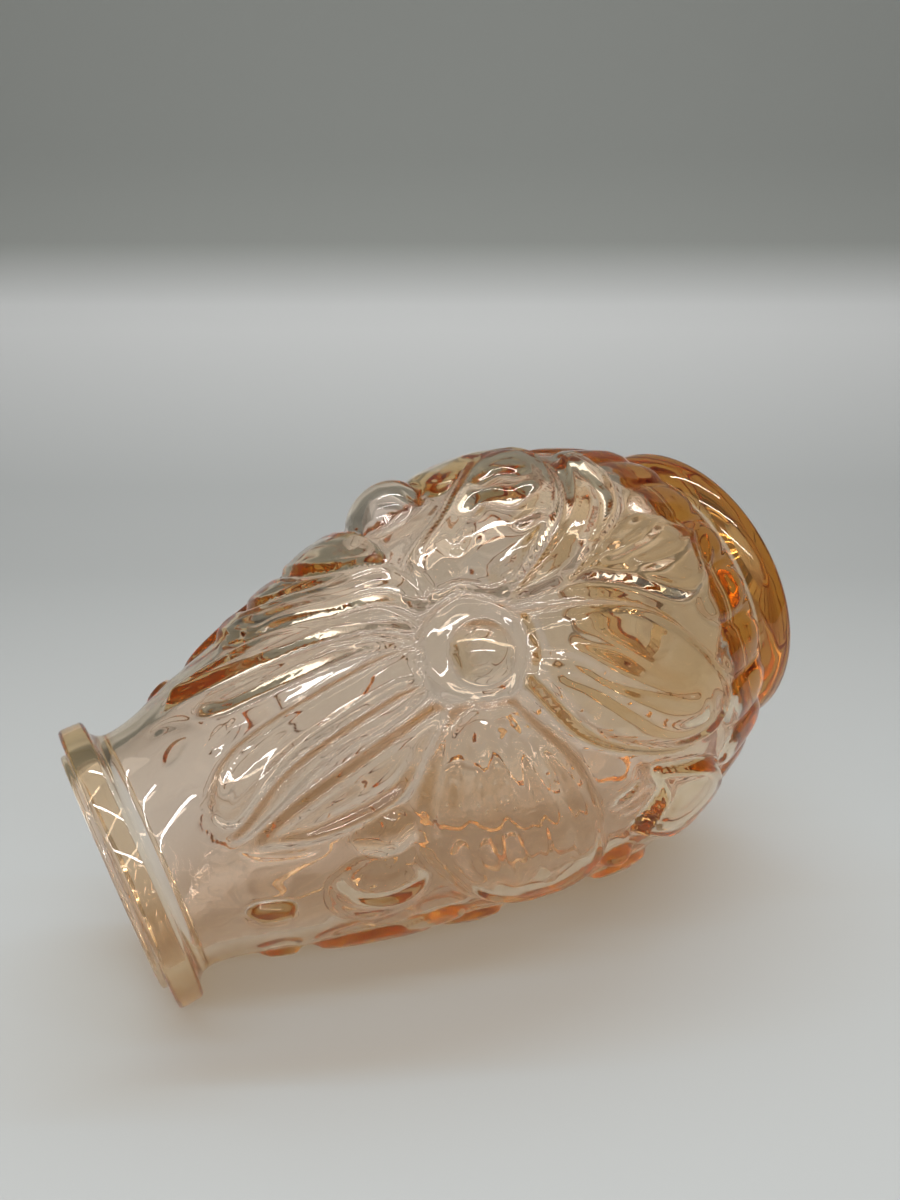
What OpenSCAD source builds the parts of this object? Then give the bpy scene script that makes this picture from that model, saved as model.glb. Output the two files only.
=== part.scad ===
// Moulded glass bud vase with a large blossom in relief on its front and on its back.
// Millimetres, +Z up along the axis. The foot stands on Z = 0 and the front blossom faces -Y.

/* [Foot] */
// Radius of the foot where it is widest
foot_r = 34.4; // [33:0.1:36]
// Height at which the foot starts to round in towards the waist
foot_edge = 4; // [3.2:0.1:5]
// Rounding of the foot's lower edge
foot_round = 2.5; // [1:0.1:2.8]
// Radius of the waist between foot and bowl
waist_r = 29.5; // [28:0.1:30.5]
// Height of the waist above the table
waist_z = 9.2; // [8.6:0.1:10]
// Radius of the shallow hollow under the foot
hollow_r = 25; // [20:0.5:28]
// Depth of the hollow under the foot
hollow_d = 1.2; // [0.5:0.1:2.5]

/* [Bowl] */
// Largest radius of the bare bowl
belly_r = 45.9; // [43:0.1:49]
// Height of the belly, as a share of the vase's height
belly_z_share = 0.343; // [0.31:0.001:0.38]
// Radius of the bowl's underside close to the waist, as a share of the belly
under_share = 0.789; // [0.77:0.001:0.81]
// Height of that place, as a share of the vase's height
under_z_share = 0.09; // [0.085:0.001:0.095]
// Radius of the bowl at its heel, as a share of the belly
heel_share = 0.88; // [0.85:0.001:0.91]
// Height of the heel, as a share of the vase's height
heel_z_share = 0.15; // [0.14:0.001:0.165]
// Radius of the bowl above the belly, as a share of the belly
flank_share = 0.95; // [0.92:0.001:0.97]
// Height of the flank, as a share of the vase's height
flank_z_share = 0.471; // [0.45:0.001:0.51]
// Radius of the bowl at mid height, as a share of the belly
mid_share = 0.852; // [0.82:0.001:0.88]
// Height of the middle, as a share of the vase's height
mid_z_share = 0.6; // [0.57:0.001:0.64]
// Radius where the bowl tapers, as a share of the belly
taper_share = 0.717; // [0.69:0.001:0.75]
// Height of the taper, as a share of the vase's height
taper_z_share = 0.729; // [0.7:0.001:0.75]
// Radius below the neck, as a share of the belly
throat_share = 0.608; // [0.59:0.001:0.64]
// Height of the throat, as a share of the vase's height
throat_z_share = 0.832; // [0.81:0.001:0.85]
// Thickness of the bowl's wall
wall = 3.3; // [2.6:0.1:4]
// Height of the inside floor above the table
floor_z = 16.5; // [15.5:0.1:18]
// Height over which the floor rounds into the wall
floor_round = 14; // [11:0.5:17]

/* [Heel] */
// Leaf tips round the heel
tips = 24; // [20:1:28]
// Radius of the ball that rounds a tip
tip_r = 6; // [4.5:0.1:6.5]
// How far a tip stands out of the heel
tip_rise = 1.6; // [0.8:0.1:1.8]
// Height of the tips, as a share of the vase's height
tip_z_share = 0.121; // [0.118:0.001:0.123]

/* [Mouth] */
// Height of the vase
height = 140; // [130:0.5:154]
// Outer radius of the neck
neck_r = 23.1; // [22:0.1:24.5]
// How far the flat collar stands out beyond the neck
collar_lip = 3.9; // [3.8:0.1:6]
// Thickness of the collar
collar_h = 4.6; // [3.5:0.1:6]
// Radius of the cove under the collar
cove_r = 2.6; // [1.2:0.1:2.8]
// Rounding of the collar's edges
collar_round = 0.8; // [0.3:0.1:0.9]
// How far the low rim on the collar stands back from the neck's outer radius
rim_step = 0.5; // [0:0.1:1]
// Height of the low rim above the collar
rim_h = 1.2; // [0.8:0.1:2]
// Rounding of the rim
rim_round = 0.5; // [0.2:0.1:0.7]

/* [Blossom] */
// Height of the blossom's centre, as a share of the vase's height
blossom_z_share = 0.539; // [0.53:0.001:0.55]
// Room between the upright petal and the neck, which sets the size of the whole blossom
blossom_gap = 8; // [7.5:0.1:12]
// Radius at which the blossom's pattern is drawn flat
pattern_r = 45; // [44:0.5:48]
// Radius of the dome at the blossom's centre
dome_r = 6; // [5:0.1:7]
// How far the dome stands out
dome_rise = 5.4; // [3.5:0.1:5.8]
// Radius of the round pad under the dome
pad_r = 9.4; // [8.2:0.1:10]
// Thickness of the pad
pad_h = 0.9; // [0.5:0.1:1.2]
// Clearance between the pad and the petals
petal_gap = 1.8; // [1.2:0.1:2.6]
// Thickness of a petal at its edge
petal_edge = 0.5; // [0.3:0.05:0.8]
// Swell of a petal inside its edge
petal_swell = 0.5; // [0.2:0.05:0.9]
// Height of the rolled rim along a petal's edge
petal_rim = 0.8; // [0.3:0.05:1.2]
// Height of the fold along a petal's middle
petal_fold = 0.7; // [0.2:0.05:1.1]
// Clearance between the relief and the bowl
seat = 0.06; // [0.05:0.01:0.1]

/* [Hidden] */
$fn = 96;
// Steps up the heel and up the rest of the bowl
heel_steps = 12;
bowl_steps = 40;
// Rows from a petal's root to its widest place and on to its tip, and columns across it
root_rows = 6;
tip_rows = 6;
columns = 8;
// Turn of the last row on a petal's rounded tip
tip_turn = 84;
// Place of the rolled rim across a half petal, its breadth, and the breadth of the fold
rim_share = 0.75;
rim_breadth_share = 0.16;
fold_breadth_share = 0.18;
heel_z = heel_z_share * height;
neck_z = height - rim_h - collar_h - cove_r;
bore_r = neck_r - wall;
collar_r = neck_r + collar_lip;
rim_r = neck_r - rim_step;
collar_z = height - rim_h - collar_h;
blossom_z = blossom_z_share * height;
blossom_r = neck_z - blossom_gap - blossom_z;
glass = [0.90, 0.72, 0.60, 0.75];

// Petals: direction, start beyond the pad, reach, half width, share of it at the root, widest place, bow of
// the middle line, and 1 for a fold or -1 for a channel along the middle. Directions turn from the right,
// seen from outside. Start, reach and half width are shares of the upright petal's reach.
petals = [
    [175, 0, 1.280, 0.320, 0.24, 0.56, 0.06, 1],
    [-121, 0, 1.130, 0.260, 0.32, 0.58, -0.03, 1],
    [-84, 0, 1.040, 0.140, 0.25, 0.75, 0.00, -1],
    [-31, 0, 1.125, 0.238, 0.30, 0.58, -0.13, 1],
    [21, 0, 1.208, 0.150, 0.30, 0.60, 0.00, 1],
    [50, 0, 1.240, 0.138, 0.28, 0.62, 0.02, -1],
    [68, 0.12, 0.960, 0.050, 0.35, 0.60, 0.00, 1],
    [90, 0, 1.000, 0.140, 0.40, 0.55, 0.05, 1],
    [117, 0, 1.070, 0.100, 0.40, 0.66, 0.00, -1]
];
// Leaves: place of the root beside and above the blossom's centre, then the same values as a petal
leaves = [
    [-0.656, 0.448, 158, 0, 0.479, 0.117, 0.3, 0.45, 0.00, 1],
    [-0.688, -0.365, 204, 0, 0.521, 0.138, 0.3, 0.50, 0.05, 1],
    [0.200, -0.420, -60, 0, 0.680, 0.100, 0.3, 0.55, 0.00, 1],
    [-0.780, -0.700, -118, 0, 0.396, 0.117, 0.3, 0.50, 0.00, 1]
];
// Buds: place beside and above the blossom's centre and radius, in the same shares, then how far the bud stands
// out as a share of its radius
buds = [
    [0.923, -0.128, 0.160, 0.72],
    [-0.531, 0.500, 0.090, 0.85],
    [-1.250, -0.302, 0.083, 0.80]
];
sides = ["front", "back"];

// Bowl's outline as heights and radii, from the waist to the neck
stations = [
    [waist_z, waist_r],
    [under_z_share * height, under_share * belly_r],
    [heel_z, heel_share * belly_r],
    [belly_z_share * height, belly_r],
    [flank_z_share * height, flank_share * belly_r],
    [mid_z_share * height, mid_share * belly_r],
    [taper_z_share * height, taper_share * belly_r],
    [throat_z_share * height, throat_share * belly_r],
    [neck_z, neck_r]
];
last = len(stations) - 1;

function rise(i) = stations[i + 1][0] - stations[i][0];
function grade(i) = (stations[i + 1][1] - stations[i][1]) / rise(i);

// Slope of the outline at a station: upright at both ends and at the belly, and a weighted mean elsewhere
function slope(i) =
    i == 0 || i == last || grade(i - 1) * grade(i) <= 0 ? 0 :
    let (below = 2 * rise(i) + rise(i - 1), above = rise(i) + 2 * rise(i - 1))
    (below + above) / (below / grade(i - 1) + above / grade(i));

// Radius of the bare bowl at a height, on one smooth curve through the stations
function bowl_r(z) =
    let (i = min(last - 1, max([0, for (k = [0 : last - 1]) if (stations[k][0] <= z) k])))
    let (h = rise(i), t = min(1, max(0, (z - stations[i][0]) / h)))
    stations[i][1] * (1 + 2 * t) * pow(1 - t, 2) + slope(i) * h * t * pow(1 - t, 2)
    + stations[i + 1][1] * pow(t, 2) * (3 - 2 * t) + slope(i + 1) * h * pow(t, 2) * (t - 1);

// Radius of the inside at a height: the bowl less its wall, rounded into the floor
function inside_r(z) =
    let (top = floor_z + floor_round)
    z >= top ? bowl_r(z) - wall :
    (bowl_r(top) - wall) * pow(1 - pow((top - z) / floor_round, 3), 1 / 3);

function heights(from, to, steps) = [for (i = [0 : steps]) from + (to - from) * i / steps];

// Heights of the bowl's rows, closer together round its heel
bowl_rows = concat(
    heights(waist_z, heel_z, heel_steps),
    [for (i = [1 : bowl_steps]) heel_z + (neck_z - heel_z) * i / bowl_steps]
);

function arc(centre, r, from, to, steps = 8) =
    [for (a = heights(from, to, steps)) centre + r * [cos(a), sin(a)]];

// A point on the bowl, from its place beside the blossom's centre, its height and its lift off the wall
function on_bowl(beside, z, lift) =
    let (a = beside / pattern_r * 180 / PI, r = bowl_r(z) + lift)
    [r * sin(a), -r * cos(a), z];

// How far along a petal a row lies, from 0 at the root to 1 at the tip
function along(row, widest) =
    row < root_rows ? widest * row / root_rows :
    widest + (1 - widest) * sin(tip_turn * (row - root_rows) / tip_rows);

function half_width(t, width, root, widest) =
    t < widest ? width * (root + (1 - root) * sin(90 * t / widest)) :
    width * sqrt(1 - pow((t - widest) / (1 - widest), 2));

function bump(x, breadth) = exp(-pow(x / breadth, 2));

// Lift of a petal's face: a thin edge, a rolled rim inside it, and a fold or a channel down the middle
function lift(t, s, fold) =
    petal_edge + (0.55 + 0.45 * sin(180 * t)) * (
        petal_swell * (1 - pow(s, 4)) + petal_rim * bump(abs(s) - rim_share, rim_breadth_share)
        + (fold > 0 ? petal_fold : -petal_swell) * bump(s, fold_breadth_share) * (1 - t / 2)
    );

module foot() {
    hollow = [for (r = heights(0, hollow_r, 8)) [r, hollow_d * (1 - pow(r / hollow_r, 2))]];
    cushion = [for (a = heights(0, 90, 16)) [
        waist_r + (foot_r - waist_r) * cos(a),
        foot_edge + (waist_z - foot_edge) * sin(a)
    ]];
    color(glass) rotate_extrude() polygon(concat(
        hollow,
        arc([foot_r - foot_round, foot_round], foot_round, -90, 0),
        cushion,
        [[0, waist_z]]
    ));
}

// The bare bowl as a solid, grown by the given amount, from which the relief is cut
module core(grow) {
    rotate_extrude() polygon(concat(
        [[0, waist_z]],
        [for (z = bowl_rows) [bowl_r(z) + grow, z]],
        [[0, neck_z]]
    ));
}

// The space inside the bowl, carried on past the neck so that it cuts clean through
module inside() {
    corner = [for (a = heights(90, 9, 9)) let (z = floor_z + floor_round * (1 - sin(a))) [inside_r(z), z]];
    upper = [for (z = heights(floor_z + floor_round, neck_z, bowl_steps)) [inside_r(z), z]];
    rotate_extrude() polygon(concat(
        [[0, floor_z]],
        [for (p = corner) if (p[1] > floor_z) p],
        upper,
        [[bore_r, height], [0, height]]
    ));
}

// Leaf tips round the heel: the caps of balls sunk square to the wall
module heel_tips() {
    z = tip_z_share * height;
    lean = atan(bowl_r(z + 0.5) - bowl_r(z - 0.5));
    for (i = [0 : tips - 1])
        rotate([0, 0, 360 * i / tips])
            translate([0, -bowl_r(z), z]) rotate([lean, 0, 0])
                translate([0, tip_r - tip_rise, 0]) sphere(tip_r);
}

module bowl() {
    color(glass) difference() {
        union() {
            core(0);
            heel_tips();
        }
        inside();
    }
}

module collar() {
    edge = collar_r - collar_round;
    top = collar_z + collar_h;
    color(glass) rotate_extrude() polygon(concat(
        [[bore_r, neck_z]],
        [for (p = arc([neck_r + cove_r, neck_z], cove_r, 180, 90)) p],
        arc([edge, collar_z + collar_round], collar_round, -90, 0),
        arc([edge, top - collar_round], collar_round, 0, 90),
        [[rim_r, top]],
        arc([rim_r - rim_round, height - rim_round], rim_round, 0, 90),
        arc([bore_r + rim_round, height - rim_round], rim_round, 90, 180)
    ));
}

// Turns what is drawn facing -Y to the given side
module on_side(side) {
    rotate([0, 0, side == "front" ? 0 : 180]) children();
}

// Puts what is drawn at the origin onto the bowl's axis at a place beside the blossom's centre
module at_place(beside, z) {
    translate([0, 0, z]) rotate([0, 0, beside / pattern_r * 180 / PI]) children();
}

module boss(side) {
    r = bowl_r(blossom_z);
    color(glass) on_side(side) difference() {
        union() {
            translate([0, dome_r - dome_rise - r, blossom_z]) sphere(dome_r);
            intersection() {
                core(seat + pad_h);
                translate([0, 0, blossom_z]) rotate([90, 0, 0]) cylinder(r = pad_r, h = r + dome_r);
            }
        }
        core(seat);
    }
}

module bud(side, place) {
    z = blossom_z + blossom_r * place[1];
    r = blossom_r * place[2];
    color(glass) on_side(side) difference() {
        at_place(blossom_r * place[0], z) translate([0, r * (1 - place[3]) - bowl_r(z), 0]) sphere(r);
        core(seat);
    }
}

// A petal or a leaf as a thin curved solid that follows the bowl, begun at a distance from its root's place
module petal(side, root, from, shape) {
    rows = root_rows + tip_rows;
    count = (rows + 1) * (columns + 1);
    direction = shape[0];
    start = from + blossom_r * shape[1];
    reach = blossom_r * shape[2];
    grid = [for (row = [0 : rows], column = [0 : columns])
        let (t = along(row, shape[5]), s = 2 * column / columns - 1)
        let (x = start + (reach - start) * t)
        let (y = shape[6] * reach * t * t + s * half_width(t, blossom_r * shape[3], shape[4], shape[5]))
        [blossom_r * root[0] + x * cos(direction) - y * sin(direction),
         blossom_z + blossom_r * root[1] + x * sin(direction) + y * cos(direction), t, s]];
    face = [for (g = grid) on_bowl(g[0], g[1], seat + lift(g[2], g[3], shape[7]))];
    back = [for (g = grid) on_bowl(g[0], g[1], seat)];
    function at(row, column) = row * (columns + 1) + column;
    function both(a, b, c, d) = [[a, b, c], [a, c, d]];
    cells = [for (i = [0 : rows - 1], j = [0 : columns - 1])
        each concat(
            both(at(i, j), at(i, j + 1), at(i + 1, j + 1), at(i + 1, j)),
            both(count + at(i, j), count + at(i + 1, j), count + at(i + 1, j + 1), count + at(i, j + 1))
        )];
    long_sides = [for (i = [0 : rows - 1])
        each concat(
            both(at(i, 0), at(i + 1, 0), count + at(i + 1, 0), count + at(i, 0)),
            both(at(i + 1, columns), at(i, columns), count + at(i, columns), count + at(i + 1, columns))
        )];
    ends = [for (j = [0 : columns - 1])
        each concat(
            both(at(0, j + 1), at(0, j), count + at(0, j), count + at(0, j + 1)),
            both(at(rows, j), at(rows, j + 1), count + at(rows, j + 1), count + at(rows, j))
        )];
    color(glass) on_side(side) polyhedron(concat(face, back), concat(cells, long_sides, ends));
}

foot();
bowl();
collar();
for (side = sides) {
    boss(side);
    for (i = [1 : len(petals)])
        petal(side, [0, 0], pad_r + petal_gap, petals[i - 1]);
    for (i = [1 : len(leaves)])
        petal(side, leaves[i - 1], 0, [for (k = [2 : 9]) leaves[i - 1][k]]);
    for (i = [1 : len(buds)])
        bud(side, buds[i - 1]);
}
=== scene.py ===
import math

import bmesh
import bpy
import numpy as np
from mathutils import Matrix, Vector


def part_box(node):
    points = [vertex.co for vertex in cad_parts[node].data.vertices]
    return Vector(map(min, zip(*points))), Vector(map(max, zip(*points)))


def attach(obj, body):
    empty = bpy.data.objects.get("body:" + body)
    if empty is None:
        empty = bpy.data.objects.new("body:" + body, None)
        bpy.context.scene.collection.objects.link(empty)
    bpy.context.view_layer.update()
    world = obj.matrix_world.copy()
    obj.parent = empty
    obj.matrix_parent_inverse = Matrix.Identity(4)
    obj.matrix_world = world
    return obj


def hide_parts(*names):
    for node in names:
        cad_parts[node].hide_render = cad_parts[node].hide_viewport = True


bl_info = {
    "name": "Moulded glass bud vase",
    "version": (1, 0, 0),
    "blender": (4, 5, 0),
    "location": "View3D > Sidebar > Vase",
    "description": "Builds a moulded glass vase with a blossom in relief, and the sweep that it lies on",
    "category": "Object",
}

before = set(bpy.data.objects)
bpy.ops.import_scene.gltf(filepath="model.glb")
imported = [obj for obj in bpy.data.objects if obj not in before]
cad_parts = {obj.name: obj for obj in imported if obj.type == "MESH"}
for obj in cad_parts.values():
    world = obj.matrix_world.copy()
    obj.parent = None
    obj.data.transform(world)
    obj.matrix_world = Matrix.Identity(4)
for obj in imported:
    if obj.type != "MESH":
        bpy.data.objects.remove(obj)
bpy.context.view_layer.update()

# The vase is measured in millimetres, and the stage round it in metres
MM = 0.001
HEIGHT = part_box("collar")[1].z / MM

# Foot: radius, rounding of the lower edge, and the height at which it rounds in towards the waist
FOOT_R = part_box("foot")[1].x / MM
FOOT_ROUND = 2.5
FOOT_EDGE = 4.0
# Hollow under the foot, and the middle of the flat ring round it
HOLLOW_R = 25.0
HOLLOW_RISE = 1.2
BEARING_R = 28.5

# Bowl's outline from the waist to the neck: height and radius
STATIONS = np.array([
    (9.2, 29.5), (12.6, 36.2), (21.0, 40.4), (48.0, 45.9), (66.0, 43.6),
    (84.0, 39.1), (102.0, 32.9), (116.5, 27.9), (131.6, 23.1),
])
WAIST_Z, WAIST_R = STATIONS[0]
NECK_Z, NECK_R = STATIONS[-1]
# Rows of the mesh up the outside and down the inside
OUTER_ROWS, INNER_ROWS = 166, 36

# Wall, the flat middle of the floor inside, and the height at which the inside starts to round in towards it
WALL = 3.3
FLOOR_Z = 16.5
FLOOR_FLAT_R = 12.0
CORNER_Z = 30.5
CORNER_ANGLES = (12, 25, 38, 52, 65, 77, 85)

# Cove under the collar, the collar, the low rim on it, and the bore
COVE = 2.6
COLLAR_R = 27.0
COLLAR_ROUND = 0.8
RIM_R = 22.6
RIM_RISE = 1.2
RIM_ROUND = 0.5
BORE_R = 19.8
BORE_END = 136.0

# Petals round the blossom: step at the edge, rolled rim and crown, and the outline as degrees round the axis
# from the front and heights
PETALS = {
    "broad_left": (0.95, 0.65, 1.15, [
        (-10, 79.5), (-12, 78), (-14, 73.5), (-20, 71.5), (-37, 65.5), (-60, 62.5), (-69, 63.5), (-75, 67),
        (-77, 72), (-76, 79), (-70, 85), (-61, 89.5), (-42, 94.5), (-26, 92), (-13, 85.5)]),
    "broad_low_left": (1.1, 0.8, 1.3, [
        (2, 65.5), (1, 61), (-8, 44.5), (-22, 35), (-34, 30.5), (-39, 30.5), (-44, 36), (-42, 47),
        (-35, 58.5), (-27, 65), (-15, 69), (-11, 70), (-8, 67.5), (-3, 66.5)]),
    "broad_low_right": (1.2, 0.7, 1.35, [
        (15, 77), (27, 76), (32, 72), (37, 65), (51, 50.5), (55, 42.5), (52, 37), (40, 38), (24, 44),
        (15, 52.5), (7, 65.5), (11, 70.5), (13, 72.5)]),
    "right": (0.85, 0.65, 1.05, [
        (14, 78), (28, 77.5), (34, 80), (40, 88.5), (56, 99), (66, 101), (70, 104), (62, 107.5), (43, 104),
        (38, 99), (28, 91), (23, 84)]),
    "upper_right": (0.85, 0.65, 0.9, [
        (11, 81), (22, 84), (28, 92), (39, 101), (47, 112), (50, 120), (44, 118.5), (37, 112.5), (28, 102),
        (22, 92.5)]),
    "slender": (0.85, 0.55, 0.8, [
        (8, 82.5), (18, 89.5), (33, 113.5), (31, 117.5), (25, 115), (22, 111), (14, 91), (9, 86.5)]),
    "upright": (0.95, 0.55, 1.05, [
        (7, 83), (10, 91), (10, 115), (-4, 122.5), (-14, 120.5), (-7, 113), (-2, 104.5), (0, 89.5),
        (-2, 85), (3, 84.5)]),
    "finger": (1.2, 0.8, 0.25, [
        (-3, 85), (-1, 90.5), (-5, 110), (-17, 120.5), (-18, 118), (-8, 104), (-6, 90.5)]),
    "upper_left": (0.95, 0.8, 0.8, [
        (-8, 84.5), (-8, 87), (-13, 104.5), (-18, 115.5), (-22, 118), (-25, 117), (-29, 108.5), (-27, 96.5),
        (-17, 88.5), (-11, 84)]),
    "low_right": (1.1, 0.65, 1.7, [
        (6, 65), (9, 61), (17, 47.5), (31, 38.5), (39, 35), (40, 29.5), (26, 30), (13, 37), (7, 47.5),
        (4, 58.5)]),
    "low": (1.1, 0.65, 1.7, [
        (5, 64), (4, 54.5), (8, 44), (12, 36.5), (12, 31.5), (4, 23.5), (-2, 24), (-8, 26), (-11, 30.5),
        (-10, 36), (2, 51.5)]),
    "pad": (1.2, 0.3, 1.15, [
        (13, 72.5), (5, 66.5), (3, 66), (-7, 67.5), (-13, 73), (-12, 78.5), (-6, 83.5), (2, 84),
        (11, 80.5)]),
    "right_top": (0.85, 0.5, 1.15, [
        (32, 81), (34, 80), (47, 88.5), (67, 92), (74, 95.5), (71, 99), (57, 98), (36, 87)]),
    "leaf_right": (0.85, 0.5, 1.3, [
        (36, 77.5), (49, 76.5), (70, 78.5), (78, 82), (76, 88), (66, 90.5), (48, 87.5), (36, 81.5)]),
    "leaf_low_left": (1.2, 0.65, 1.45, [
        (-44, 52), (-53, 37.5), (-62, 32), (-70, 31.5), (-74, 35.5), (-74, 43.5), (-66, 52.5), (-61, 55.5),
        (-52, 51.5)]),
    "leaf_upper_left": (0.6, 0.15, 0.9, [
        (-38, 97.5), (-46, 96.5), (-53, 95), (-60, 96), (-66, 100), (-68, 105), (-62, 109), (-53, 110.5),
        (-45, 109), (-40, 104.5)]),
    "leaf_tip": (1.2, 0.15, 1.15, [
        (-45, 121.5), (-48, 117.5), (-52, 116.5), (-57, 118), (-56, 122), (-49, 123.5)]),
    "leaf_far_left": (0.7, 0.15, 0.9, [
        (-72, 92.5), (-75, 88.5), (-80, 88), (-87, 92.5), (-88, 95), (-81, 99.5)]),
    "leaf_under_bud": (0.85, 0.15, 1.4, [
        (47, 58), (55, 60.5), (65, 61), (75, 57), (81, 50), (80, 42), (72, 37), (62, 35), (55, 43)]),
}
# Leaves where the two blossoms meet, which show at both of their sides
SIDE_LEAVES = {
    "side_tip": (0.8, 0.15, 0.9, [
        (-84, 119), (-88, 122.5), (-95, 122), (-98, 119), (-94, 116.5), (-88, 116.5)]),
    "side_leaf_upper": (0.9, 0.15, 1.4, [
        (-82, 97), (-80, 105), (-84, 111.5), (-91, 113.5), (-98, 110), (-101, 103), (-98, 95), (-91, 92)]),
    "side_leaf_middle": (0.8, 0.15, 1.2, [
        (-83, 84), (-85, 89), (-91, 91), (-97, 88), (-98, 83), (-94, 79), (-87, 79.5)]),
    "side_leaf_lower": (0.8, 0.15, 1.2, [
        (-79, 52), (-82, 57.5), (-88, 59.5), (-94, 56.5), (-95, 51), (-91, 47), (-84, 47)]),
}
# Leaf tip that curls under the bowl's heel, and the degrees from one tip to the next
HEEL_TIP = (0.35, 0.15, 1.05, [
    (-5, 29), (-7, 24), (-6.5, 18.5), (-4, 15), (0, 13.3), (4, 15), (6.5, 18.5), (7, 24), (5, 29), (0, 31.5)])
HEEL_TIP_EVERY = 15
# Where a petal's step begins and ends, inwards from its outline
STEP_FROM, STEP_TO = -0.7, 0.8
# Place and half width of a petal's rolled rim, and breadth of the rounded shoulder inside its edge
ROLL_IN, ROLL_HALF = 1.1, 0.85
SHOULDER = 5.0

# Folds, grooves and channels: height, half width, and the line they follow
FOLDS = (
    # Broad petal at the low left, and the groove beside it
    (0.55, 1.1, [(-8, 67.5), (-13, 61.5), (-21, 56), (-31, 44), (-33, 38.5)]),
    (0.5, 1.1, [(-13, 65.5), (-17, 62), (-34, 50), (-38, 41), (-36, 39), (-33, 43)]),
    (0.35, 1.1, [(-8, 60.5), (-15, 54), (-24, 48), (-31, 39.5)]),
    (-1.8, 1.3, [(3, 65), (1, 56), (-4, 48), (-12, 39), (-31, 28)]),
    # Edges of the broad petal at the low right and of the petal above it
    (0.6, 1.1, [(10, 67.5), (13, 62), (16, 51.5)]),
    (0.9, 1.1, [(14, 77.5), (28, 77)]),
    # Broad petal at the left
    (0.5, 1.5, [(-11, 81.5), (-29, 87), (-47, 88.5), (-58, 87)]),
    (0.5, 1.5, [(-12, 79.5), (-35, 82), (-50, 82), (-66, 79.5)]),
    (0.5, 1.5, [(-13, 77), (-53, 75.5), (-68, 73.5)]),
    (0.5, 1.5, [(-14, 75), (-37, 71), (-62, 68)]),
    # Low petal
    (0.9, 1.1, [(4, 49), (5, 37), (10, 26.5)]),
    (0.9, 1.1, [(-1, 43.5), (-1, 31.5), (7, 15)]),
    (0.9, 1.1, [(-4, 42.5), (-11, 33), (-8, 25.5), (0, 18.5)]),
    (0.5, 1.1, [(4, 62), (4, 56), (3, 51), (0, 47), (-1, 35), (0, 29)]),
    # Broad petal at the low right
    (0.9, 1.1, [(8, 67.5), (12, 58), (18, 52)]),
    (-1.4, 1.7, [(29, 63), (32, 57), (26, 53.5), (29, 46.5)]),
    (-1.2, 1.5, [(37, 56), (38, 49.5), (32, 47)]),
    (0.8, 1.2, [(20, 57.5), (20, 49.5)]),
    (0.9, 1.1, [(28, 68.5), (22, 68.5), (26, 63.5)]),
    # Petal beside it
    (-0.9, 1.2, [(4, 53), (15, 40.5), (26, 35.5)]),
    (0.8, 1.1, [(5, 49), (17, 34), (29, 27.5)]),
    # Upper petals
    (-0.7, 1.1, [(-17, 91), (-22, 97.5), (-24, 112)]),
    (0.3, 1.2, [(4, 86), (0, 105.5), (-5, 114.5)]),
    (0.4, 1.1, [(19, 92.5), (22, 111)]),
    # Curls on the leaves at the left
    (1.1, 1.1, [(-44, 109.5), (-53, 107), (-57, 101), (-53, 94.5)]),
    (0.9, 1.1, [(-42, 54), (-48, 55.5), (-51, 61.5)]),
    (0.6, 1.1, [(-46, 53), (-50, 53.5), (-53, 56), (-53, 59.5)]),
    # Curls below the neck
    (0.5, 1.1, [(19, 114.5), (17, 117), (14, 118), (17, 114), (19, 114.5)]),
    (0.4, 1.1, [(39, 125.5), (35, 122), (20, 116.5)]),
    (0.35, 1.1, [(-20, 120.5), (-26, 118.5), (-30, 113.5), (-31, 108)]),
)
# Shares of a line over which it rises at its start and dies away at its end
FOLD_START, FOLD_END = (-0.05, 0.15), (-0.05, 0.25)
# How far from a petal or a line its relief is worked out, in degrees and height
PETAL_MARGIN, FOLD_MARGIN = (4, 3), (6, 4)

# Boss at the blossom's middle, and buds: degrees, height, radius, rise, and how softly it meets the wall
DOMES = (
    (-2, 74.8, 6, 5.4, 0.52),
    (57, 69, 8, 5.9, 0.52),
    (-33.5, 99.5, 5, 2.8, 0.8),
    (-72, 58, 3.6, 2.2, 0.8),
)
# The large bud is hollow, with a wall thinner than the bowl's by this much
HOLLOW_BUD, BUD_THINNER = DOMES[1], 1.0
# Share of the relief that the inside follows
INSIDE_FOLLOWS = 0.35
# How much lower the relief is on the back, and the degrees and heights over which it becomes so
BACK_LOWER = 0.4
BACK_FROM, BACK_TO = 80, 100
BACK_HEEL, BACK_BOWL = 30, 38

# The vase stays upright in its frame, so the sweep, the lamps and the camera are turned round it
TABLE_UP = Vector((0.753, -0.607, -0.254)).normalized()
EYE = Vector((-26.58, -177.9, 137.29)) * MM
EYE_RIGHT = Vector((-0.4889, -0.2575, -0.8334))
EYE_UP = Vector((0.8404, -0.3949, -0.3711))
EYE_AHEAD = Vector((0.2335, 0.8820, -0.4095))
EYE_LENS, EYE_SENSOR = 27.0, 36.0
EYE_NEAREST = 0.005

# Sweep, from the floor under the camera: its near edge, a row on its flat, its bend, and its upright part
SWEEP_START, SWEEP_FLAT, BEND_START = 0.04, 0.3, 0.5
BEND_R, BEND_ANGLE, BEND_ROWS = 0.3, 86, 24
BACKDROP_LEAN, BACKDROP_RISE = 0.05, 0.8
SWEEP_WIDTH = 3.0
# Heights on the sweep at which the floor's tone ends, the bend's painted light begins and ends, and the
# backdrop's painted shade begins
FLOOR_TONE, BEND_PAINTED_LIGHT_FROM, BEND_PAINTED_LIGHT_TO, BACKDROP_PAINTED_SHADE_FROM = 0.03, 0.14, 0.16, 0.21

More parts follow.
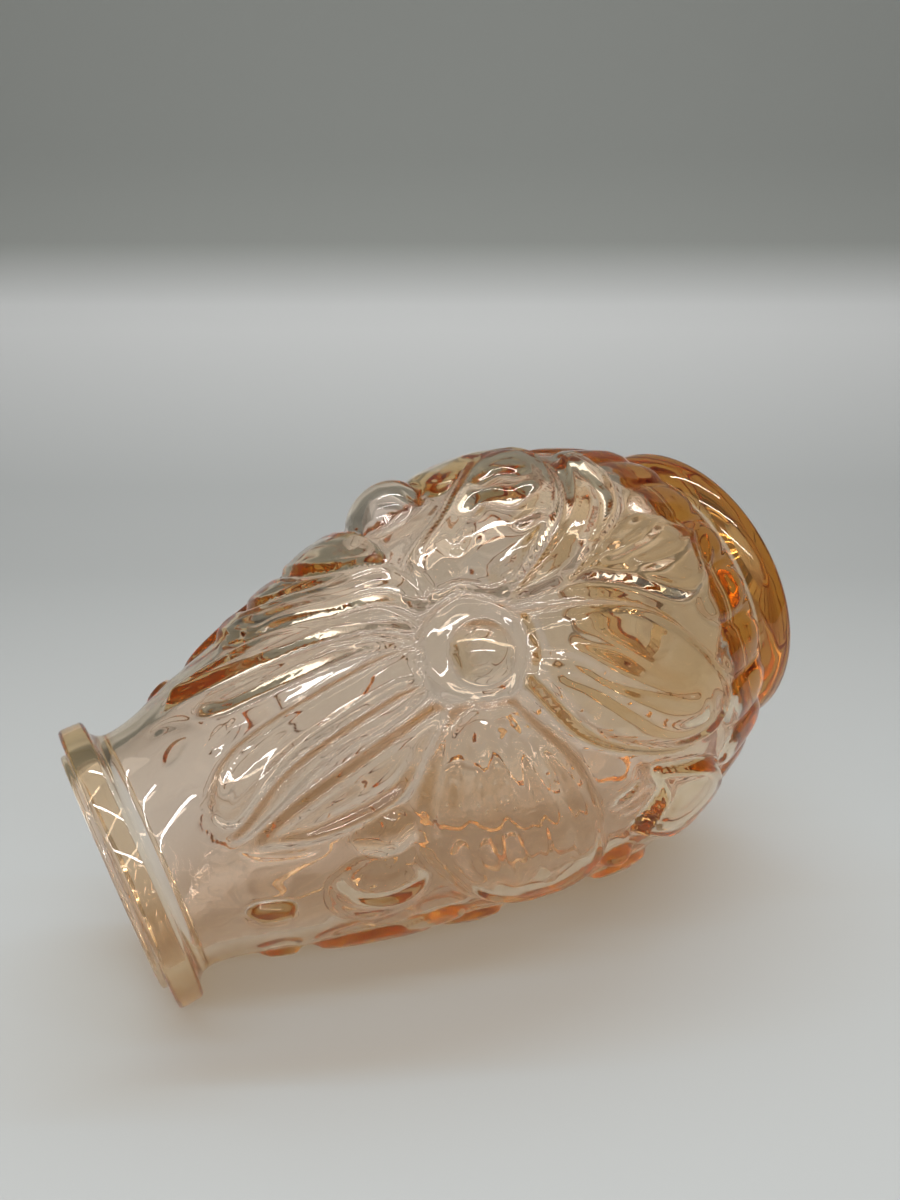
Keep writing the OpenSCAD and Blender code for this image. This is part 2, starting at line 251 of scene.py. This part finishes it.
# Middle of the set, from the floor under the camera. Lamps are placed from it by how far away and how high
SET_MIDDLE = 0.19
SOFTBOX_AWAY, SOFTBOX_UP, SOFTBOX_AIM = 0.45, 1.0, 0.4
SOFTBOX_SIZE = (2.0, 0.7)
TUBES = ((0.02, 0.5), (-0.24, 0.45), (-0.40, 0.28))
TUBE_SIZE = (0.5, 0.016)
# The tubes are there for gleams on the glass, and light the paper little
TUBE_ON_PAPER = 0.06
LAMP_COLOUR, ROOM_COLOUR = "#FEFEFF", "#FAFBFC"
# The room is brightest above and behind the camera
BRIGHTEST_UP, BRIGHTEST_AWAY = 0.8, -0.6
# Light crosses many faces of the glass before it leaves it
LIGHT_BOUNCES = 32


def smooth_step(x, low, high):
    """Share from 0 to 1 that eases in at the low end and out at the high end."""
    t = np.clip((x - low) / (high - low), 0.0, 1.0)
    return t * t * (3.0 - 2.0 * t)


def bowl_slopes():
    """Slopes of the bowl's outline at its stations, with no overshoot between them."""
    rise = np.diff(STATIONS[:, 0])
    grade = np.diff(STATIONS[:, 1]) / rise
    slopes = np.zeros(len(STATIONS))
    for i in range(1, len(STATIONS) - 1):
        if grade[i - 1] * grade[i] > 0:
            below, above = 2 * rise[i] + rise[i - 1], rise[i] + 2 * rise[i - 1]
            slopes[i] = (below + above) / (below / grade[i - 1] + above / grade[i])
    return slopes


SLOPES = bowl_slopes()


def bowl_radius(z):
    """Radius of the bare bowl at a height, on the same curve as the solids."""
    z = np.clip(z, STATIONS[0, 0], STATIONS[-1, 0])
    i = np.clip(np.searchsorted(STATIONS[:, 0], z, side="right") - 1, 0, len(STATIONS) - 2)
    h = STATIONS[i + 1, 0] - STATIONS[i, 0]
    t = (z - STATIONS[i, 0]) / h
    return (STATIONS[i, 1] * (1 + 2 * t) * (1 - t) ** 2 + SLOPES[i] * h * t * (1 - t) ** 2
            + STATIONS[i + 1, 1] * t ** 2 * (3 - 2 * t) + SLOPES[i + 1] * h * t ** 2 * (t - 1))


def curve_through(points, closed, parts=5):
    """A smooth curve through points, as a finer row of points."""
    p = np.array(points, float)
    if closed:
        p = np.vstack([p[-1], p, p[0], p[1]])
    else:
        p = np.vstack([2 * p[0] - p[1], p, 2 * p[-1] - p[-2]])
    out = []
    for a, b, c, d in zip(p[:-3], p[1:-2], p[2:-1], p[3:]):
        for t in np.linspace(0.0, 1.0, parts, endpoint=False):
            out.append(0.5 * (2 * b + (c - a) * t + (2 * a - 5 * b + 4 * c - d) * t * t
                              + (3 * b - a - 3 * c + d) * t ** 3))
    out.append(p[-2])
    return np.array(out)


def distance_to(curve, turn, z, radius):
    """Distance from each place on the bowl to a curve, and how far along it the nearest point is."""
    best = np.full(turn.shape, 1e9)
    along = np.zeros(turn.shape)
    mm = np.radians(radius)
    for k, (a, b) in enumerate(zip(curve[:-1], curve[1:])):
        ax, ay = (a[0] - turn) * mm, a[1] - z
        dx, dy = (b[0] - a[0]) * mm, b[1] - a[1]
        t = np.clip(-(ax * dx + ay * dy) / (dx * dx + dy * dy + 1e-12), 0.0, 1.0)
        d = np.hypot(ax + t * dx, ay + t * dy)
        nearer = d < best
        best = np.where(nearer, d, best)
        along = np.where(nearer, (k + t) / (len(curve) - 1), along)
    return best, along


def is_inside(curve, turn, z):
    """Whether each place lies inside a closed curve."""
    inside = np.zeros(turn.shape, bool)
    for a, b in zip(curve[:-1], curve[1:]):
        crosses = (a[1] > z) != (b[1] > z)
        where = a[0] + (z - a[1]) * (b[0] - a[0]) / (b[1] - a[1] + 1e-12)
        inside ^= crosses & (turn < where)
    return inside


def close_to(curve, turn, z, margin):
    """Whether each place lies within a margin of the curve's reach."""
    low, high = curve.min(axis=0), curve.max(axis=0)
    return ((turn > low[0] - margin[0]) & (turn < high[0] + margin[0])
            & (z > low[1] - margin[1]) & (z < high[1] + margin[1]))


def dome(turn, z, radius, place, size, rise, soft):
    """Lift of a round dome, whose place is given as degrees and height."""
    d = np.hypot(np.radians(turn - place[0]) * radius, z - place[1])
    return rise * np.maximum(1 - (d / size) ** 2, 0) ** soft


def turned(petal, degrees):
    """The same petal, further round the axis."""
    *heights, outline = petal
    return (*heights, [(turn + degrees, z) for turn, z in outline])


def all_petals():
    """The petals with the leaves at both sides and the leaf tips at the heel."""
    sides = [turned(leaf, degrees) for leaf in SIDE_LEAVES.values() for degrees in (0, 180)]
    tips = [turned(HEEL_TIP, degrees) for degrees in range(-90, 91, HEEL_TIP_EVERY)]
    return [*PETALS.values(), *sides, *tips]


def relief(turn, z, radius, domes=DOMES):
    """Lift of the blossom off the bare bowl, for places within a quarter turn of its middle."""
    lift = np.zeros(turn.shape)
    for edge, rim, crown, outline in all_petals():
        curve = curve_through(outline, True)
        near = close_to(curve, turn, z, PETAL_MARGIN)
        d, _ = distance_to(curve, turn[near], z[near], radius[near])
        d = np.where(is_inside(curve, turn[near], z[near]), d, -d)
        step = smooth_step(d, STEP_FROM, STEP_TO)
        roll = np.exp(-((d - ROLL_IN) / ROLL_HALF) ** 2)
        pillow = 1 - (1 - np.clip(d / SHOULDER, 0, 1)) ** 2
        lift[near] = np.maximum(lift[near], edge * step + rim * roll + crown * pillow)
    for height, half, line in FOLDS:
        curve = curve_through(line, False)
        near = close_to(curve, turn, z, FOLD_MARGIN)
        d, along = distance_to(curve, turn[near], z[near], radius[near])
        taper = smooth_step(along, *FOLD_START) * smooth_step(1 - along, *FOLD_END)
        lift[near] += height * taper * np.exp(-(d / half) ** 2)
    for *place, size, rise, soft in domes:
        lift = np.maximum(lift, dome(turn, z, radius, place, size, rise, soft))
    return lift


def soft_relief(turn, z):
    """The same lift without its domes, blurred, as the inside of moulded glass follows the outside."""
    step, reach, spread = 1.5, 5, 1.6
    across, up = np.arange(-90.0, 90.0, step), np.arange(math.floor(WAIST_Z), math.ceil(NECK_Z) + 1.0)
    a, h = np.meshgrid(across, up)
    lift = relief(a.ravel(), h.ravel(), bowl_radius(h.ravel()), ()).reshape(a.shape)
    weights = np.exp(-0.5 * (np.arange(-reach, reach + 1) / spread) ** 2)
    weights /= weights.sum()
    lift = np.pad(lift, ((reach, reach), (0, 0)), mode="edge")
    lift = sum(w * lift[k:k + len(up)] for k, w in enumerate(weights))
    lift = np.pad(lift, ((0, 0), (reach, reach + 1)), mode="wrap")
    lift = sum(w * lift[:, k:k + len(across) + 1] for k, w in enumerate(weights))
    row, column = z - up[0], (turn - across[0]) / step
    i = np.clip(row.astype(int), 0, len(up) - 2)
    j = np.clip(column.astype(int), 0, len(across) - 1)
    s, t = row - i, column - j
    return ((1 - s) * ((1 - t) * lift[i, j] + t * lift[i, j + 1])
            + s * ((1 - t) * lift[i + 1, j] + t * lift[i + 1, j + 1]))


def arc(x, z, radius, start, end, points):
    """Points on an arc from one angle to another."""
    angles = np.radians(np.linspace(start, end, points))
    return [(x + radius * math.cos(a), z + radius * math.sin(a)) for a in angles]


def foot_outline():
    """Outline from the middle of the underside, over the hollow and the ring, to the waist."""
    hollow = [(r, HOLLOW_RISE * (1 - (r / HOLLOW_R) ** 2)) for r in np.linspace(0, HOLLOW_R, 5)]
    edge = arc(FOOT_R - FOOT_ROUND, FOOT_ROUND, FOOT_ROUND, -90, 0, 6)
    cushion = [(WAIST_R + (FOOT_R - WAIST_R) * math.cos(a), FOOT_EDGE + (WAIST_Z - FOOT_EDGE) * math.sin(a))
               for a in np.radians(np.linspace(0, 90, 12)[:-1])]
    return [*hollow, (BEARING_R, 0.0), *edge, *cushion]


def bowl_outline():
    """Outline from the waist to the neck, in rows that are equally far apart along the wall."""
    fine = np.linspace(WAIST_Z, NECK_Z, 2000)
    length = np.concatenate([[0], np.cumsum(np.hypot(np.diff(fine), np.diff(bowl_radius(fine))))])
    rows = np.interp(np.linspace(0, length[-1], OUTER_ROWS), length, fine)
    return list(zip(bowl_radius(rows), rows))


def collar_outline():
    """Outline from the neck, over the cove, the collar and the rim, into the bore."""
    under, top, middle = NECK_Z + COVE, HEIGHT - RIM_RISE, COLLAR_R - COLLAR_ROUND
    return [
        *arc(NECK_R + COVE, NECK_Z, COVE, 180, 90, 7)[1:],
        *arc(middle, under + COLLAR_ROUND, COLLAR_ROUND, -90, 0, 4),
        *arc(middle, top - COLLAR_ROUND, COLLAR_ROUND, 0, 90, 4),
        (RIM_R, top),
        *arc(RIM_R - RIM_ROUND, HEIGHT - RIM_ROUND, RIM_ROUND, 0, 90, 4),
        *arc(BORE_R + RIM_ROUND, HEIGHT - RIM_ROUND, RIM_ROUND, 90, 180, 4),
        (BORE_R, BORE_END),
    ]


def inside_outline():
    """Outline from the neck, down the inside of the wall and round its corner, to the middle of the floor."""
    rows = np.linspace(NECK_Z, CORNER_Z, INNER_ROWS)
    wall = list(zip(bowl_radius(rows) - WALL, rows))
    corner_r, depth = bowl_radius(CORNER_Z) - WALL, CORNER_Z - FLOOR_Z
    corner = [(corner_r * (1 - math.sin(a) ** 3) ** (1 / 3), CORNER_Z - depth * math.sin(a))
              for a in np.radians(CORNER_ANGLES)]
    return [*wall, *corner, (FLOOR_FLAT_R, FLOOR_Z), (0.0, FLOOR_Z)]


def places(mesh):
    """Places of a mesh's vertices, as rows of numbers."""
    co = np.zeros(len(mesh.vertices) * 3, np.float32)
    mesh.vertices.foreach_get("co", co)
    return co.reshape(-1, 3)


def spun_glass(steps):
    """Mesh of the plain glass, spun round the axis from its outline."""
    mesh = bpy.data.meshes.new("vase_glass")
    bm = bmesh.new()
    outline = [*foot_outline(), *bowl_outline(), *collar_outline(), *inside_outline()]
    verts = [bm.verts.new((r * MM, 0.0, z * MM)) for r, z in outline]
    edges = [bm.edges.new(pair) for pair in zip(verts[:-1], verts[1:])]
    bmesh.ops.spin(bm, geom=verts + edges, cent=(0, 0, 0), axis=(0, 0, 1), dvec=(0, 0, 0), angle=math.tau,
                   steps=steps, use_merge=True, use_duplicate=False)
    bmesh.ops.remove_doubles(bm, verts=bm.verts, dist=1e-6)
    bmesh.ops.recalc_face_normals(bm, faces=bm.faces)
    bm.to_mesh(mesh)
    bm.free()
    return mesh


def raise_blossoms(mesh, share):
    """Lifts one blossom off the front and one off the back, and the inside softly after them."""
    # The rows at the waist, the neck and the floor stay, and the outside lies within a skin of the bare bowl
    gap, floor_gap, skin = 0.1, 1.0, 0.5
    co = places(mesh).astype(float) / MM
    z, r = co[:, 2], np.hypot(co[:, 0], co[:, 1])
    outer = (z > WAIST_Z + gap) & (z < NECK_Z - gap) & (r > bowl_radius(z) - skin)
    inner = (z > FLOOR_Z + floor_gap) & (z < NECK_Z - gap) & ~outer
    turn = np.degrees(np.arctan2(co[:, 0], -co[:, 1]))
    behind = smooth_step(np.abs(turn), BACK_FROM, BACK_TO) * smooth_step(z, BACK_HEEL, BACK_BOWL)
    # The back repeats the front, half a turn away
    turn = np.where(np.abs(turn) > 90, turn - np.sign(turn) * 180, turn)
    lift = np.zeros(len(co))
    lift[outer] = relief(turn[outer], z[outer], r[outer])
    *place, size, rise, soft = HOLLOW_BUD
    hollow = dome(turn[inner], z[inner], r[inner], place, size - BUD_THINNER, rise + BUD_THINNER, soft)
    lift[inner] = np.maximum(INSIDE_FOLLOWS * soft_relief(turn[inner], z[inner]), hollow)
    lift *= share * (1 - BACK_LOWER * behind)
    co[:, :2] *= (1 + lift / np.maximum(r, 1.0))[:, None]
    mesh.vertices.foreach_set("co", (co * MM).astype(np.float32).ravel())
    mesh.shade_smooth()
    mesh.update()


def linear(hex_colour):
    """sRGB hex value to a linear colour."""
    parts = [int(hex_colour[i:i + 2], 16) / 255 for i in (1, 3, 5)]
    return tuple(c / 12.92 if c <= 0.04045 else ((c + 0.055) / 1.055) ** 2.4 for c in parts)


def add_node(tree, kind, settings=None, inputs=None, links=None):
    """Adds a node with its settings, input values and links from other nodes' outputs."""
    node = tree.nodes.new(kind)
    for key, value in (settings or {}).items():
        setattr(node, key, value)
    for key, value in (inputs or {}).items():
        node.inputs[key].default_value = value
    for key, output in (links or {}).items():
        tree.links.new(output, node.inputs[key])
    return node


def peach_glass(look):
    # Pressed soda-lime glass tinted peach: bright and clear where it is thin, amber where it is thick, with
    # a fire-polished skin that is faintly wavy, 9 mm from wave to wave, and dulled in patches of about 22 mm
    material = bpy.data.materials.new("peach_pressed_glass")
    material.use_nodes = True
    tree = material.node_tree
    tree.nodes.clear()
    place = add_node(tree, "ShaderNodeTexCoord").outputs["Object"]
    waves = add_node(tree, "ShaderNodeTexNoise", {"noise_dimensions": "3D"},
                     {"Scale": 1 / (9 * MM), "Detail": 2.0, "Roughness": 0.4}, {"Vector": place})
    haze = add_node(tree, "ShaderNodeTexNoise", {"noise_dimensions": "3D"},
                    {"Scale": 1 / (22 * MM), "Detail": 3.0, "Roughness": 0.55}, {"Vector": place})
    dull = add_node(tree, "ShaderNodeMapRange", {},
                    {"From Min": 0.35, "From Max": 0.75, "To Min": 0.0, "To Max": 0.05},
                    {"Value": haze.outputs["Fac"]})
    tint = add_node(tree, "ShaderNodeMix", {"data_type": "RGBA"}, {}, {"Factor": haze.outputs["Fac"]})
    tint.inputs["A"].default_value = (*linear("#FFFAF9"), 1)
    tint.inputs["B"].default_value = (*linear("#FFF4F0"), 1)
    bump = add_node(tree, "ShaderNodeBump", {}, {"Strength": 0.15, "Distance": 0.6 * MM},
                    {"Height": waves.outputs["Fac"]})
    surface = add_node(tree, "ShaderNodeBsdfPrincipled", {},
                       {"IOR": 1.5, "Transmission Weight": 1.0},
                       {"Base Color": tint.outputs["Result"], "Roughness": dull.outputs["Result"],
                        "Normal": bump.outputs["Normal"]})
    depth = add_node(tree, "ShaderNodeVolumeAbsorption", {},
                     {"Color": (*linear(look.depth_colour), 1), "Density": look.depth_density})
    # Lamps shine through the glass, so that its shadow is pale and warm
    lit = add_node(tree, "ShaderNodeBsdfTransparent", {}, {"Color": (*linear("#F3ECE6"), 1)})
    lamp_ray = add_node(tree, "ShaderNodeLightPath").outputs["Is Shadow Ray"]
    whole = add_node(tree, "ShaderNodeMixShader", {}, {},
                     {0: lamp_ray, 1: surface.outputs["BSDF"], 2: lit.outputs["BSDF"]})
    add_node(tree, "ShaderNodeOutputMaterial", {}, {},
             {"Surface": whole.outputs[0], "Volume": depth.outputs["Volume"]})
    return material


def matt_paper(look):
    # Matt paper, pale on the floor, with painted light that makes its bend paler, and painted shade that
    # makes it darker where it climbs out of the lamps' reach.
    # It can't be seen from behind, so that other views look through it
    material = bpy.data.materials.new("matt_paper")
    material.use_nodes = True
    tree = material.node_tree
    tree.nodes.clear()
    climb = add_node(tree, "ShaderNodeAttribute", {"attribute_name": "climb"}).outputs["Fac"]
    # The floor keeps the paper's own colour; the bend's paler colour is painted light and the upright part's
    # darker colour is painted shade
    tones = ((FLOOR_TONE, look.floor_colour), (BEND_PAINTED_LIGHT_FROM, look.bend_painted_light_colour),
             (BEND_PAINTED_LIGHT_TO, look.bend_painted_light_colour), (BACKDROP_PAINTED_SHADE_FROM, look.backdrop_painted_shade_colour))
    colour = add_node(tree, "ShaderNodeValToRGB", {}, {}, {"Fac": climb})
    while len(colour.color_ramp.elements) < len(tones):
        colour.color_ramp.elements.new(1.0)
    for element, (height, tone) in zip(colour.color_ramp.elements, tones):
        element.position, element.color = height, (*linear(tone), 1)
    diffuse = add_node(tree, "ShaderNodeBsdfDiffuse", {}, {}, {"Color": colour.outputs["Color"]})
    clear = add_node(tree, "ShaderNodeBsdfTransparent")
    behind = add_node(tree, "ShaderNodeNewGeometry").outputs["Backfacing"]
    whole = add_node(tree, "ShaderNodeMixShader", {}, {},
                     {0: behind, 1: diffuse.outputs["BSDF"], 2: clear.outputs["BSDF"]})
    add_node(tree, "ShaderNodeOutputMaterial", {}, {}, {"Surface": whole.outputs[0]})
    return material


def soft_room(scene, look, brightest):
    """Dim room that is lighter in one direction."""
    world = bpy.data.worlds.new("soft_room")
    scene.world = world
    world.use_nodes = True
    tree = world.node_tree
    tree.nodes.clear()
    way = add_node(tree, "ShaderNodeTexCoord").outputs["Generated"]
    climb = add_node(tree, "ShaderNodeVectorMath", {"operation": "DOT_PRODUCT"}, {1: brightest}, {0: way})
    level = add_node(tree, "ShaderNodeMapRange", {"interpolation_type": "SMOOTHSTEP"},
                     {"From Min": 0.0, "From Max": 1.0, "To Min": look.room_low, "To Max": look.room_high},
                     {"Value": climb.outputs["Value"]})
    light = add_node(tree, "ShaderNodeBackground", {}, {"Color": (*linear(ROOM_COLOUR), 1)},
                     {"Strength": level.outputs["Result"]})
    add_node(tree, "ShaderNodeOutputWorld", {}, {}, {"Surface": light.outputs[0]})


def paper_sweep(base, away, side):
    """Mesh of the paper: flat under the vase, then bent up behind it."""
    profile = [(SWEEP_START, 0.0), (SWEEP_FLAT, 0.0)]
    profile += [(BEND_START + BEND_R * math.sin(a), BEND_R * (1 - math.cos(a)))
                for a in np.radians(np.linspace(0, BEND_ANGLE, BEND_ROWS))]
    far, high = profile[-1]
    profile.append((far + BACKDROP_LEAN, high + BACKDROP_RISE))
    mesh = bpy.data.meshes.new("sweep")
    bm = bmesh.new()
    verts = [bm.verts.new(base + away * s + TABLE_UP * h - side * (SWEEP_WIDTH / 2)) for s, h in profile]
    edges = [bm.edges.new(pair) for pair in zip(verts[:-1], verts[1:])]
    made = bmesh.ops.extrude_edge_only(bm, edges=edges)
    moved = [g for g in made["geom"] if isinstance(g, bmesh.types.BMVert)]
    bmesh.ops.translate(bm, verts=moved, vec=side * SWEEP_WIDTH)
    for face in bm.faces:
        face.normal_update()
    if sum(f.normal.dot(TABLE_UP) for f in bm.faces) < 0:
        bmesh.ops.reverse_faces(bm, faces=bm.faces)
    # Height above the floor, which sets where the bend's painted light and the backdrop's painted shade fall
    climb = bm.verts.layers.float.new("climb")
    for v in bm.verts:
        v[climb] = (v.co - base).dot(TABLE_UP)
    bm.to_mesh(mesh)
    bm.free()
    mesh.shade_smooth()
    return mesh


def area_lamp(scene, name, place, target, along, size, power, on_paper=1.0):
    """Lamp that faces a target, with its length along a direction."""
    lamp = bpy.data.lights.new(name, "AREA")
    lamp.shape, lamp.size, lamp.size_y, lamp.energy = "RECTANGLE", size[0], size[1], power
    lamp.color = linear(LAMP_COLOUR)
    lamp.diffuse_factor = on_paper
    obj = bpy.data.objects.new(name, lamp)
    back = (place - target).normalized()
    across = (along - back * along.dot(back)).normalized()
    turn = Matrix((across, back.cross(across), back)).transposed().to_4x4()
    obj.matrix_world = Matrix.Translation(place) @ turn
    obj.visible_camera = False
    scene.collection.objects.link(obj)
    return obj


def set_eye(scene):
    """Camera at the photograph's place."""
    camera = bpy.data.objects.new("eye", bpy.data.cameras.new("eye"))
    camera.data.sensor_width, camera.data.lens = EYE_SENSOR, EYE_LENS
    camera.data.clip_start = EYE_NEAREST
    turn = Matrix((EYE_RIGHT, EYE_UP, -EYE_AHEAD)).transposed().to_4x4()
    camera.matrix_world = Matrix.Translation(EYE) @ turn
    scene.collection.objects.link(camera)
    scene.camera = camera


class VaseShape(bpy.types.PropertyGroup):
    steps: bpy.props.IntProperty(
        name="Steps", description="Steps round the axis", default=384, min=90, max=400)
    relief: bpy.props.FloatProperty(
        name="Relief", description="Height of the relief, as a share of the drawn one",
        default=1.0, min=0.0, max=1.5, subtype="FACTOR")


class VaseLook(bpy.types.PropertyGroup):
    depth_colour: bpy.props.StringProperty(
        name="Depth colour", description="Colour that light takes on in thick glass", default="#FAF1DA")
    depth_density: bpy.props.FloatProperty(
        name="Depth", description="How fast thick glass takes on its colour, per metre",
        default=140.0, min=0.0)


class StageLook(bpy.types.PropertyGroup):
    floor_colour: bpy.props.StringProperty(
        name="Floor", description="Colour of the sweep's floor", default="#B4B6B4")
    # Painted light: the bend is coloured paler than the floor, standing in for the lamps lighting it more
    bend_painted_light_colour: bpy.props.StringProperty(
        name="Bend", description="Colour of the sweep's bend", default="#D6D7D5")
    # Painted shade: the upright part is coloured darker than the floor, standing in for it climbing out of
    # the lamps' reach
    backdrop_painted_shade_colour: bpy.props.StringProperty(
        name="Backdrop", description="Colour of the sweep's upright part", default="#A0A29D")
    room_low: bpy.props.FloatProperty(
        name="Room", description="Light of the room at the sides", default=0.06, min=0.0)
    room_high: bpy.props.FloatProperty(
        name="Ceiling", description="Light of the room above the camera", default=0.33, min=0.0)
    softbox_power: bpy.props.FloatProperty(
        name="Softbox", description="Power of the softbox in watts", default=7.4, min=0.0, unit="POWER")
    tube_power: bpy.props.FloatProperty(
        name="Tubes", description="Power of each tube lamp in watts", default=0.8, min=0.0, unit="POWER")


class VASE_OT_glass(bpy.types.Operator):
    """Spins the glass body and raises the blossoms on its wall"""
    bl_idname = "vase.glass"
    bl_label = "Glass body"

    def execute(self, context):
        shape = context.scene.vase_shape
        mesh = spun_glass(shape.steps)
        raise_blossoms(mesh, shape.relief)
        vase = bpy.data.objects.new("vase_glass", mesh)
        context.scene.collection.objects.link(vase)
        mesh.materials.append(peach_glass(context.scene.vase_look))
        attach(vase, "root")
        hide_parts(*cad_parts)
        return {"FINISHED"}


class VASE_OT_stage(bpy.types.Operator):
    """Lays the sweep under the vase and sets the lamps and the camera"""
    bl_idname = "vase.stage"
    bl_label = "Stage"

    def execute(self, context):
        scene, look = context.scene, context.scene.vase_stage
        # The sweep touches the lowest point of the glass
        low = float((places(bpy.data.objects["vase_glass"].data) @ np.array(TABLE_UP, np.float32)).min())
        away = (EYE_AHEAD - TABLE_UP * EYE_AHEAD.dot(TABLE_UP)).normalized()
        side = away.cross(TABLE_UP)
        base = EYE + TABLE_UP * (low - EYE.dot(TABLE_UP))
        sweep = bpy.data.objects.new("sweep", paper_sweep(base, away, side))
        scene.collection.objects.link(sweep)
        sweep.data.materials.append(matt_paper(look))
        middle = base + away * SET_MIDDLE
        softbox = area_lamp(scene, "softbox", middle + away * SOFTBOX_AWAY + TABLE_UP * SOFTBOX_UP,
                            middle + away * SOFTBOX_AIM, side, SOFTBOX_SIZE, look.softbox_power)
        softbox.visible_glossy = False
        for k, (back, up) in enumerate(TUBES):
            area_lamp(scene, f"tube_{k + 1}", middle + away * back + TABLE_UP * up, middle, side, TUBE_SIZE,
                      look.tube_power, TUBE_ON_PAPER)
        soft_room(scene, look, (TABLE_UP * BRIGHTEST_UP + away * BRIGHTEST_AWAY).normalized())
        set_eye(scene)
        scene.view_settings.view_transform = "Standard"
        scene.cycles.max_bounces = scene.cycles.transmission_bounces = LIGHT_BOUNCES
        scene.cycles.glossy_bounces = scene.cycles.transparent_max_bounces = LIGHT_BOUNCES
        scene.cycles.caustics_refractive = False
        return {"FINISHED"}


class VASE_PT_panel(bpy.types.Panel):
    """Lists the vase's sizes, colours and steps"""
    bl_idname = "VASE_PT_panel"
    bl_label = "Glass vase"
    bl_space_type = "VIEW_3D"
    bl_region_type = "UI"
    bl_category = "Vase"

    def draw(self, context):
        for group in (context.scene.vase_shape, context.scene.vase_look, context.scene.vase_stage):
            box = self.layout.box()
            for name in group.bl_rna.properties.keys():
                if name not in {"rna_type", "name"}:
                    box.prop(group, name)
        self.layout.operator("vase.glass")
        self.layout.operator("vase.stage")


CLASSES = (VaseShape, VaseLook, StageLook, VASE_OT_glass, VASE_OT_stage, VASE_PT_panel)


def register():
    for cls in CLASSES:
        bpy.utils.register_class(cls)
    bpy.types.Scene.vase_shape = bpy.props.PointerProperty(type=VaseShape)
    bpy.types.Scene.vase_look = bpy.props.PointerProperty(type=VaseLook)
    bpy.types.Scene.vase_stage = bpy.props.PointerProperty(type=StageLook)


def unregister():
    del bpy.types.Scene.vase_stage, bpy.types.Scene.vase_look, bpy.types.Scene.vase_shape
    for cls in reversed(CLASSES):
        bpy.utils.unregister_class(cls)


def main():
    register()
    bpy.ops.vase.glass()
    bpy.ops.vase.stage()


if __name__ == "__main__":
    main()
